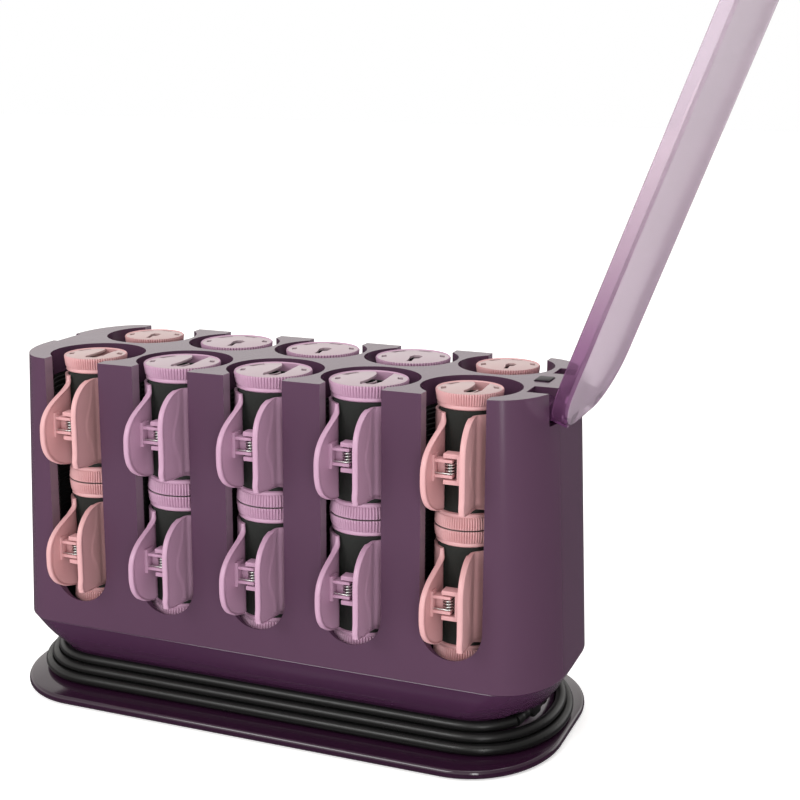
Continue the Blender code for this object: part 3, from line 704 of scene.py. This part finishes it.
def well_cutters():
    """One mesh of all wells, and one of all slots."""
    cutters_top = CASE_TOP_Z + 0.01
    round_part = bmesh.new()
    for column, side in wells():
        x, y = column_x(column), side * WELL_Y
        rod_mesh(round_part, (x, y, WELL_FLOOR_Z), (x, y, cutters_top), WELL_RADIUS, sides=72)
    open_part = bmesh.new()
    steps = 24
    centre_z = SLOT_BOTTOM_Z + SLOT_HALF_WIDTH
    half = SLOT_HALF_WIDTH - 0.0002
    line = [(half, cutters_top)]
    for step in range(steps + 1):
        angle = math.pi * step / steps
        line.append((half * math.cos(angle), centre_z - half * math.sin(angle)))
    line.append((-half, cutters_top))
    for column, side in wells():
        rings = [[(column_x(column) + x, side * y, z) for x, z in line] for y in (0.040, 0.060)]
        strips(open_part, rings)
    return finished(round_part, "wells"), finished(open_part, "slots")


def simple_cutter(low, high):
    shape = bmesh.new()
    box_mesh(shape, low, high)
    return finished(shape, "box")


def make_case():
    """The purple shell and its thick deck, with wells, slots, and room for the hinge, lens and catch."""
    shape = bmesh.new()
    strips(shape, [outline(*case_sizes(z), z) for z in (CASE_BOTTOM_Z, CASE_TOP_Z)])
    inside = bmesh.new()
    sections = []
    for z in (CASE_BOTTOM_Z - 0.002, DECK_Z):
        (half_x, half_y), corner = case_sizes(z, CASE_WALL)
        sections.append(outline((half_x, half_y - JAMB_EXTRA), corner, z))
    strips(inside, sections)
    round_part, open_part = well_cutters()
    cutters = [finished(inside, "inside"), round_part, open_part]
    for side in (-1, 1):
        ys = sorted(side * y for y in NOTCH_Y)
        notch_end = (NOTCH_X + 0.03, ys[1], ABOVE_CASE_Z)
        cutters.append(simple_cutter((NOTCH_X, ys[0], NOTCH_BOTTOM_Z), notch_end))
    lens_low, lens_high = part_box("indicator_lens")
    low = [value - LENS_MARGIN for value in lens_low]
    high = (lens_high[0] + LENS_MARGIN, lens_high[1] + LENS_MARGIN, ABOVE_CASE_Z)
    cutters.append(simple_cutter(low, high))
    cutters.append(simple_cutter(*CATCH_RECESS))
    mesh = cut(finished(shape, "case"), [("DIFFERENCE", cutter) for cutter in cutters], "case_body", 0.0006)
    mesh.materials.append(MATERIALS["case"])
    # Painted highlight: the side faces beside the slots take a lighter purple in place of the light that
    # falls on them
    mesh.materials.append(MATERIALS["case_slot_painted_highlight"])
    end_x = column_x(COLUMNS - 1) + SLOT_HALF_WIDTH + 0.004
    for face in mesh.polygons:
        x, y, z = face.center
        beside_slot = abs(x) < end_x and abs(y) > 0.0405 and z < CASE_TOP_Z - 0.0005
        face.material_index = int(abs(face.normal.x) > 0.97 and beside_slot)
    even_shading(base_piece("case_body", mesh, "case", "case", "case_shell"))


def make_well_liners():
    """The black walls of each well, with fine level ribs, open where the well's slot is."""
    shape = bmesh.new()
    pitch, depth, sheet = 0.0025, 0.0003, 0.0002
    top = DECK_Z - 0.0006
    outer = WELL_RADIUS - 0.00035
    inner = outer - depth
    count = int((top - WELL_FLOOR_Z) / pitch)
    profile = []
    for rib in range(count):
        z = WELL_FLOOR_Z + 0.0004 + rib * pitch
        profile += [(outer, z), (outer, z + 0.0012), (inner, z + 0.0015), (inner, z + 0.0022)]
    beside_slot = math.asin((SLOT_HALF_WIDTH + 0.0004) / WELL_RADIUS)
    for column, side in wells():
        front = side * math.pi / 2
        half_open = beside_slot if is_small(column) else CLAW_REACH
        angles = np.linspace(front + half_open, front + 2 * math.pi - half_open, 49)
        rings = []
        for angle in angles:
            x, y = column_x(column), side * WELL_Y
            rings.append([(x + r * math.cos(angle), y + r * math.sin(angle), z) for r, z in profile])
        strips(shape, rings, closed_round=False, caps=False)
    liners = mesh_object("well_liners", finished(shape, "well_liners"), "chamber")
    thick = liners.modifiers.new("thickness", "SOLIDIFY")
    thick.thickness = sheet
    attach(liners, "base")


def section_outlines(sections, steps=16):
    return [outline(half, corner, z, steps) for z, half, corner in sections]


def make_foot():
    """The lower housing: a waist for the cord's turns, and a skirt that spreads out to the case."""
    sections = [
        (0.0045, *grown(WAIST, WAIST_FLARE)),
        (0.0137, *WAIST),
        (0.0178, *WAIST),
        (0.0182, (0.1296, 0.0414), (0.0330, 0.0375)),
        (0.0210, (0.1315, 0.0430), (0.0320, 0.0375)),
        (0.0245, (0.1340, 0.0450), (0.0305, 0.0372)),
        (0.0280, (0.1360, 0.0465), (0.0290, 0.0370)),
        (0.0315, (0.1379, 0.0475), (0.0275, 0.0365)),
        (0.0345, (0.1395, 0.0483), (0.0262, 0.0361)),
        (0.0348, (0.1393, 0.0481), (0.0261, 0.0360)),
    ]
    shape = bmesh.new()
    strips(shape, section_outlines(sections, 20))
    inside = bmesh.new()
    inner_waist = grown(WAIST, -FOOT_WALL)
    hollow = [(0.0070, *inner_waist), (0.0215, *inner_waist), (0.0355, (0.1361, 0.0451), (0.0240, 0.0340))]
    strips(inside, section_outlines(hollow))
    pocket = bmesh.new()
    along = (RELIEF_TO - RELIEF_FROM).normalized()
    rod_mesh(pocket, RELIEF_FROM - along * 0.004, RELIEF_TO + along * 0.003, 0.0043)
    cutters = [("DIFFERENCE", finished(inside, "inside")), ("DIFFERENCE", finished(pocket, "pocket"))]
    mesh = cut(finished(shape, "foot"), cutters, "foot", 0.0, 28.0)
    base_piece("foot", mesh, "housing", "housing", "lower_housing")


def make_flange():
    """The glossy plate that the set stands on, with a rounded rim."""
    radius = FLANGE_THICKNESS / 2
    rings = []
    steps = 8
    for step in range(steps + 1):
        angle = math.pi * (step / steps - 0.5)
        inset = radius * 0.75 * (1 - math.cos(angle))
        z = radius + radius * math.sin(angle)
        rings.append(outline(*grown(FLANGE, -inset), z, 20))
    shape = bmesh.new()
    strips(shape, rings)
    mesh = finished(shape, "base_flange", 60.0)
    base_piece("base_flange", mesh, "base_plate", "base_plate", "base_plate")


def make_lens():
    low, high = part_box("indicator_lens")
    shape = bmesh.new()
    box_mesh(shape, low, high, 0.0005)
    base_piece("power_lens", finished(shape, "power_lens"), "lens", "lens", "indicator_lens")


def make_catch():
    """The dark push button at the left end, with three level grip ribs."""
    low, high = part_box("lid_catch")
    shape = bmesh.new()
    box_mesh(shape, low, high, 0.0004)
    middle_z = (low[2] + high[2]) / 2
    proud, half_rib, inset, pitch = 0.0004, 0.0005, 0.0015, 0.0022
    for row in (-1, 0, 1):
        z = middle_z + row * pitch
        rib_low = (low[0] - proud, low[1] + inset, z - half_rib)
        box_mesh(shape, rib_low, (low[0] + proud, high[1] - inset, z + half_rib))
    base_piece("catch_button", finished(shape, "catch_button"), "trim", "dark_trim", "lid_catch")


def make_hinge_rod():
    low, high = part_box("lid_hinge_pin")
    x, z = (low[0] + high[0]) / 2, (low[2] + high[2]) / 2
    shape = bmesh.new()
    rod_mesh(shape, (x, low[1], z), (x, high[1], z), (high[0] - low[0]) / 2)
    rims = [edge for edge in shape.edges if len({round(vert.co.y, 6) for vert in edge.verts}) == 1]
    bmesh.ops.bevel(shape, geom=rims, offset=0.0003, segments=2, affect="EDGES")
    base_piece("hinge_rod", finished(shape, "hinge_rod"), "steel", "steel", "lid_hinge_pin")


def finish_inner_parts():
    """Looks for the pieces inside the case, which keep the shapes that they are packed with."""
    finishes = {
        "heat_chamber": "chamber",
        "heater_plate": "aluminium",
        "heating_element": "steel",
        "thermostat": "ceramic",
    }
    for node, finish in finishes.items():
        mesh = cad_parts[node].data
        mesh.materials.clear()
        mesh.materials.append(MATERIALS[finish])


# -------- lid

def make_lid():
    """The tray lid, built shut about its pivot and turned open."""
    left, right = (x - LID_PIVOT.x for x in LID_X)
    middle = (left + right) / 2
    sizes = ((right - left) / 2, LID_HALF_DEPTH), LID_CORNER
    rim, top = (z - LID_PIVOT.z for z in LID_Z)
    ceiling = top - LID_SKIN
    shape = bmesh.new()
    rings = [outline(*sizes, rim, 20, middle)]
    for step in range(5):
        angle = math.pi / 2 * step / 4
        inset = LID_EDGE * (1 - math.cos(angle))
        z = top - LID_EDGE * (1 - math.sin(angle))
        rings.append(outline(*grown(sizes, -inset), z, 20, middle))
    strips(shape, rings)
    inner = bmesh.new()
    fillet = 0.0008
    inside = grown(sizes, -LID_SKIN)
    levels = ((0.0, rim - 0.002), (0.0, ceiling - fillet), (fillet, ceiling))
    strips(inner, [outline(*grown(inside, -inset), z, 20, middle) for inset, z in levels])
    open_x, open_y = LID_OPEN_END[0] - LID_PIVOT.x, LID_OPEN_END[1]
    open_end = simple_cutter((open_x, -open_y, rim - 0.002), (right + 0.01, open_y, ceiling))
    steps = [("DIFFERENCE", finished(inner, "inner")), ("DIFFERENCE", open_end)]
    for side in (-1, 1):
        ys = sorted(side * y for y in ARM_Y)
        xs = [x - LID_PIVOT.x for x in ARM_X]
        steps.append(("UNION", simple_cutter((xs[0], ys[0], 0.0), (xs[1], ys[1], top - LID_SKIN / 2))))
        knuckle = bmesh.new()
        rod_mesh(knuckle, (0, ys[0], 0), (0, ys[1], 0), KNUCKLE_RADIUS)
        steps.append(("UNION", finished(knuckle, "knuckle")))
    bore = bmesh.new()
    rod_mesh(bore, (0, -0.03, 0), (0, 0.03, 0), PIN_BORE)
    steps.append(("DIFFERENCE", finished(bore, "bore")))
    mesh = cut(finished(shape, "lid"), steps, "lid_tray", 0.0003, 30.0)
    mesh.materials.append(MATERIALS["lid"])
    mesh.materials.append(MATERIALS["lid_wall"])
    for face in mesh.polygons:
        face.material_index = int(abs(face.normal.z) < 0.85)
    turn = Matrix.Rotation(math.radians(LID_OPEN_DEG), 4, "Y")
    mesh.transform(Matrix.Translation(LID_PIVOT) @ turn)
    lid = mesh_object("lid_tray", mesh, "lid")
    even_shading(lid)
    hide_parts("lid")
    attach(lid, "lid")


# -------- rollers

def ring_mesh(sizes, name):
    """A roller's end ring: fine ribs over most of its height, then a plain bead next to the barrel."""
    barrel, ring, ring_inner = sizes
    ribs, rib_depth, ribbed_rows = 78, 0.0010, (4, 5, 6)
    height = RING_HEIGHT
    profile = [
        (barrel - 0.0010, height - 0.0046),
        (ring - 0.0014, height - 0.0046),
        (ring - 0.0012, height - 0.0007),
        (ring - 0.0005, height - 0.0002),
        (ring - 0.0001, height - 0.0007),
        (ring - 0.0002, height - 0.0018),
        (ring_inner + 0.0006, 0.0024),
        (ring_inner - 0.0001, 0.0019),
        (ring_inner + 0.0002, 0.0015),
        (ring_inner + 0.0002, 0.0005),
        (ring_inner - 0.0004, 0.0),
        (barrel - 0.0022, 0.0),
    ]

    def ribbed(index, radius, angle):
        if index in ribbed_rows:
            return radius - rib_depth * (1.0 - abs(math.cos(ribs * angle / 2)) ** 0.8)
        return radius

    shape = bmesh.new()
    turned(shape, profile, ribs * 6, ribbed)
    return finished(shape, name, 50.0)


def barrel_mesh(sizes, name):
    """The flocked barrel, flared a little where it meets the rings, and hollow from below."""
    barrel = sizes[0]
    low, high = 0.0012, ROLLER_LENGTH - ROLLER_END
    inside = barrel - ROLLER_WALL
    profile = [
        (barrel - 0.0012, high),
        (barrel + 0.0005, ROLLER_LENGTH - RING_HEIGHT),
        (barrel, ROLLER_LENGTH - RING_HEIGHT - 0.0030),
        (barrel, RING_HEIGHT + 0.0030),
        (barrel + 0.0005, RING_HEIGHT),
        (barrel - 0.0010, low),
        (inside, low),
        (inside, high),
    ]
    shape = bmesh.new()
    turned(shape, profile, 96)
    return finished(shape, name)


def cap_mesh(sizes, name, opening, slots):
    """A roller's domed end cap, with an opening at its middle, curved slots and two small holes."""
    rim = sizes[1] - 0.0011
    rise, thickness = 0.0010, 0.0011
    shape = bmesh.new()
    levels = 8
    profile = [(rim * step / levels, rise * (1 - (step / levels) ** 2)) for step in range(levels + 1)]
    under = [(r, z - thickness) for r, z in reversed(profile)]
    line = [(max(r, 1e-6), z) for r, z in profile + under]
    turned(shape, line, 96)
    bmesh.ops.remove_doubles(shape, verts=shape.verts, dist=0.00001)
    below, above = -0.004, 0.004
    hole = bmesh.new()
    strips(hole, [[(x * rim, y * rim, z) for x, y in opening] for z in (below, above)])
    cutters = [finished(hole, "opening")]
    for first, last in slots:
        slot = bmesh.new()
        rings = []
        for angle in np.radians(np.linspace(first, last, 9)):
            section = [(0.70, below), (0.89, below), (0.89, above), (0.70, above)]
            rings.append([(r * rim * math.cos(angle), r * rim * math.sin(angle), z) for r, z in section])
        strips(slot, rings)
        cutters.append(finished(slot, "slot"))
    for side in (-1, 1):
        x, y = side * 0.82 * rim, 0.02 * rim
        half_x, half_y = 0.0012, 0.0022
        cutters.append(simple_cutter((x - half_x, y - half_y, below), (x + half_x, y + half_y, above)))
    made = cut(finished(shape, "cap"), [("DIFFERENCE", cutter) for cutter in cutters], name, 0.00015, 30.0)
    made.transform(Matrix.Rotation(CAP_TURN, 4, "Z"))
    return made


def hub_mesh(name):
    """The latch at the cap's middle, seen in its opening: a square head and a curved spring tongue."""
    shape = bmesh.new()
    box_mesh(shape, (-0.0030, -0.0095, -0.0034), (-0.0012, -0.0074, -0.0001), 0.0002)
    rings = []
    for step in range(9):
        angle = math.radians(-62.0 + 50.0 * step / 8)
        section = [(0.0088, -0.0030), (0.0094, -0.0030), (0.0094, -0.0004), (0.0088, -0.0004)]
        rings.append([(r * math.cos(angle) - 0.0056, r * math.sin(angle) + 0.0006, z) for r, z in section])
    strips(shape, rings)
    shape.transform(Matrix.Rotation(CAP_TURN, 4, "Z"))
    return finished(shape, name)


def smooth_table(table, at):
    """A smooth line through (height, value) pairs that run from the top down."""
    heights = [height for height, _ in table][::-1]
    values = [value for _, value in table][::-1]
    slopes = np.gradient(values, heights)
    index = int(np.clip(np.searchsorted(heights, at) - 1, 0, len(heights) - 2))
    width = heights[index + 1] - heights[index]
    t = (at - heights[index]) / width
    a, b = values[index], values[index + 1]
    return ((1 + 2 * t) * (1 - t) ** 2 * a + t * (1 - t) ** 2 * width * slopes[index]
            + t * t * (3 - 2 * t) * b + t * t * (t - 1) * width * slopes[index + 1])


def jaw_line(barrel, side):
    """The jaw seen from above, by length along it: negative round the barrel, positive along the handle."""
    radius = barrel + JAW_CLEARANCE + JAW_THICKNESS / 2
    start, corner = (math.radians(angle) for angle in JAW_ARC_DEG)
    step = 0.0003
    arc_steps = round(radius * (start - corner) / step)
    angles = np.linspace(start, corner, arc_steps + 1)
    arc = radius * np.stack([np.cos(angles), np.sin(angles)], axis=1)
    reach = np.array(JAW_TIP) - arc[-1]
    handle_steps = round(float(np.linalg.norm(reach)) / step)
    shares = np.arange(1, handle_steps + 6)[:, None] / handle_steps
    route = np.concatenate([arc, arc[-1] + reach * shares])
    for _ in range(60):
        route[1:-1] = (route[:-2] + 2 * route[1:-1] + route[2:]) / 4
    along = (np.arange(len(route)) - arc_steps) * step
    tangents = np.gradient(route, axis=0)
    tangents /= np.linalg.norm(tangents, axis=1)[:, None]

    def place(length):
        point = Vector(float(np.interp(length, along, route[:, i])) for i in range(2))
        tangent = Vector(float(np.interp(length, along, tangents[:, i])) for i in range(2)).normalized()
        return Vector((side * point.x, point.y)), Vector((side * -tangent.y, tangent.x))

    return place, -arc_steps * step


def jaw_mesh(sizes, side, name):
    """One jaw: a plate that hugs the barrel and flares forward into a finger rest with a thick rim."""
    place, back = jaw_line(sizes[0], side)
    table = LEFT_REACH if side < 0 else RIGHT_REACH
    columns, rows = 60, 56
    heights = JAW_HALF_HEIGHT * np.cos(np.linspace(0.0, math.pi, rows + 1))
    shape = bmesh.new()
    sheets = []
    for face in (1, -1):
        sheet = []
        for height in heights:
            reach = smooth_table(table, float(height) / MM) * MM
            ease = math.sqrt(max(0.0, 1.0 - (abs(height) / JAW_HALF_HEIGHT) ** 12))
            claw_back = back + 0.004 * (1.0 - ease)
            line = []
            for column in range(columns + 1):
                share = 1.0 - (1.0 - column / columns) ** 1.6
                length = claw_back + (reach - claw_back) * share
                point, normal = place(length)
                from_edge = reach - length
                rim = math.exp(-max(0.0, from_edge - RIM_WIDTH * 0.6) ** 2 / (2 * (RIM_WIDTH * 0.35) ** 2))
                rim *= min(1.0, max(0.0, (reach + 0.002) / 0.005))
                thickness = JAW_THICKNESS + (RIM_THICKNESS - JAW_THICKNESS) * rim
                pad_end = 0.0050 + 0.0065 * math.exp(-(height / 0.0095) ** 2)
                if face > 0 and 0.0 < length < pad_end:
                    thickness += 0.0007 * min(1.0, length / 0.003, (pad_end - length) / 0.0008)
                rounding = min(1.0, from_edge / 0.0007)
                half = thickness / 2 * math.sqrt(max(0.04, 1.0 - (1.0 - rounding) ** 2))
                offset = point + normal * half * face
                line.append(shape.verts.new((offset.x, offset.y - CLIP_PIN_Y, height)))
            sheet.append(line)
        sheets.append(sheet)
    front, rear = sheets
    for sheet in sheets:
        for upper, lower in zip(sheet, sheet[1:]):
            for i in range(columns):
                shape.faces.new((upper[i], upper[i + 1], lower[i + 1], lower[i]))
    for row in (0, rows):
        for i in range(columns):
            shape.faces.new((front[row][i], front[row][i + 1], rear[row][i + 1], rear[row][i]))
    for column in (0, columns):
        for j in range(rows):
            shape.faces.new((front[j][column], front[j + 1][column], rear[j + 1][column], rear[j][column]))
    add_hinge_half(shape, side)
    return finished(shape, name, 42.0)


def add_hinge_half(shape, side):
    """The left jaw's boxed lug, or the right jaw's fork and its upright."""
    edge = 0.0003
    if side < 0:
        for z in (-0.0041, 0.0027):
            box_mesh(shape, (-0.0080, -0.0029, z), (0.0016, 0.0026, z + 0.0014), edge)
        box_mesh(shape, (-0.0082, -0.0034, -0.0058), (-0.0064, 0.0030, 0.0058), edge)
        box_mesh(shape, (-0.0064, 0.0008, -0.0030), (-0.0030, 0.0024, 0.0030), edge)
    else:
        for z in (-0.0068, 0.0048):
            box_mesh(shape, (-0.0026, -0.0029, z), (0.0082, 0.0028, z + 0.0020), edge)
        box_mesh(shape, (0.0036, -0.0030, -0.0060), (0.0060, -0.0008, 0.0060), edge)
        box_mesh(shape, (0.0056, -0.0024, -0.0050), (0.0084, 0.0016, 0.0050), edge)


def spring_mesh(name):
    """The clip's pin, and a torsion spring round it with a leg to each jaw."""
    shape = bmesh.new()
    turns, radius, wire = 3.5, 0.0021, 0.00042
    half = 0.0023
    pin_half = 0.0066
    route = [Vector((-0.0064, -0.0016, -half))]
    count = int(turns * 16)
    for step in range(count + 1):
        share = step / count
        angle = 2 * math.pi * turns * share - math.pi / 2
        route.append(Vector((radius * math.cos(angle), radius * math.sin(angle), half * (2 * share - 1))))
    route.append(Vector((0.0058, 0.0018, half)))
    rings = []
    for index, point in enumerate(route):
        before, after = route[max(index - 1, 0)], route[min(index + 1, len(route) - 1)]
        along = (after - before).normalized()
        across = along.cross(Vector((0, 0, 1))).normalized()
        other = across.cross(along)
        ring = []
        for a in np.linspace(0, 2 * math.pi, 10, False):
            ring.append(tuple(point + wire * (across * math.cos(a) + other * math.sin(a))))
        rings.append(ring)
    strips(shape, rings)
    rod_mesh(shape, (0, 0, -pin_half), (0, 0, pin_half), CLIP_PIN_RADIUS)
    return finished(shape, name, 60.0)


def make_roller_meshes():
    meshes = {}
    spring = spring_mesh("clip_spring")
    for size, sizes in (("large", LARGE), ("small", SMALL)):
        meshes[size] = {
            "barrel": barrel_mesh(sizes, f"{size}_barrel"),
            "ring": ring_mesh(sizes, f"{size}_ring"),
            "front_cap": cap_mesh(sizes, f"{size}_front_cap", FRONT_OPENING, FRONT_SLOTS),
            "back_cap": cap_mesh(sizes, f"{size}_back_cap", BACK_OPENING, BACK_SLOTS),
            "left": jaw_mesh(sizes, -1, f"{size}_left_jaw"),
            "right": jaw_mesh(sizes, 1, f"{size}_right_jaw"),
            "hub": hub_mesh(f"{size}_cap_hub"),
            "spring": spring,
        }
    return meshes


def place_mesh(name, mesh, finish, matrix, body):
    made = mesh_object(name, mesh, finish)
    made.matrix_world = matrix
    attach(made, body)
    return made


def make_rollers():
    meshes = make_roller_meshes()
    for column, side in wells():
        size = "small" if is_small(column) else "large"
        row = "front" if side < 0 else "back"
        turn = Matrix.Identity(4) if side < 0 else Matrix.Rotation(math.pi, 4, "Z")
        for level in ("upper", "lower"):
            tag = f"{row}_{column + 1}_{level}"
            make_roller(tag, size, row, meshes[size], (column_x(column), side * ROLLER_Y))
            make_clip(tag, size, meshes[size], (column_x(column), side * (ROLLER_Y - CLIP_PIN_Y)), turn)


def make_roller(tag, size, row, meshes, place):
    """A barrel between two end rings, with a cap on top. The front row's caps also show their latch."""
    node = f"roller_{tag}"
    low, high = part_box(node)
    at = Matrix.Translation((*place, low[2]))
    barrel = place_mesh(f"{node}_barrel", meshes["barrel"], "barrel", at, node)
    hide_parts(node)
    top = Matrix.Translation((*place, high[2] - RING_HEIGHT))
    place_mesh(f"{node}_top_ring", meshes["ring"], size, top, node)
    flipped = Matrix.Translation((*place, low[2] + RING_HEIGHT)) @ Matrix.Rotation(math.pi, 4, "X")
    place_mesh(f"{node}_bottom_ring", meshes["ring"], size, flipped, node)
    cap_at = Matrix.Translation((*place, high[2] - CAP_SUNK))
    place_mesh(f"{node}_cap", meshes[f"{row}_cap"], f"{size}_cap", cap_at, node)
    if row == "front":
        place_mesh(f"{node}_hub", meshes["hub"], f"{size}_cap", cap_at, node)


def make_clip(tag, size, meshes, place, turn):
    """Two jaws and a spring. Where the jaws are nodes of their own they ride on their own bodies."""
    jaws = {side: f"clip_{tag}_{side}_jaw" for side in ("left", "right")}
    separate = jaws["left"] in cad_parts
    node = jaws["left"] if separate else f"clip_{tag}"
    low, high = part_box(node)
    at = Matrix.Translation((*place, (low[2] + high[2]) / 2)) @ turn
    roller = f"roller_{tag}"
    for side in ("left", "right"):
        body = jaws[side] if separate else roller
        place_mesh(f"clip_{tag}_{side}", meshes[side], size, at, body)
        if separate:
            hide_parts(jaws[side])
    if not separate:
        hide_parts(node)
    place_mesh(f"clip_{tag}_spring", meshes["spring"], "steel", at, roller)


add_camera()
make_cord()
add_studio()
make_case()
make_well_liners()
make_foot()
make_flange()
make_lens()
make_catch()
make_hinge_rod()
finish_inner_parts()
make_lid()
make_rollers()
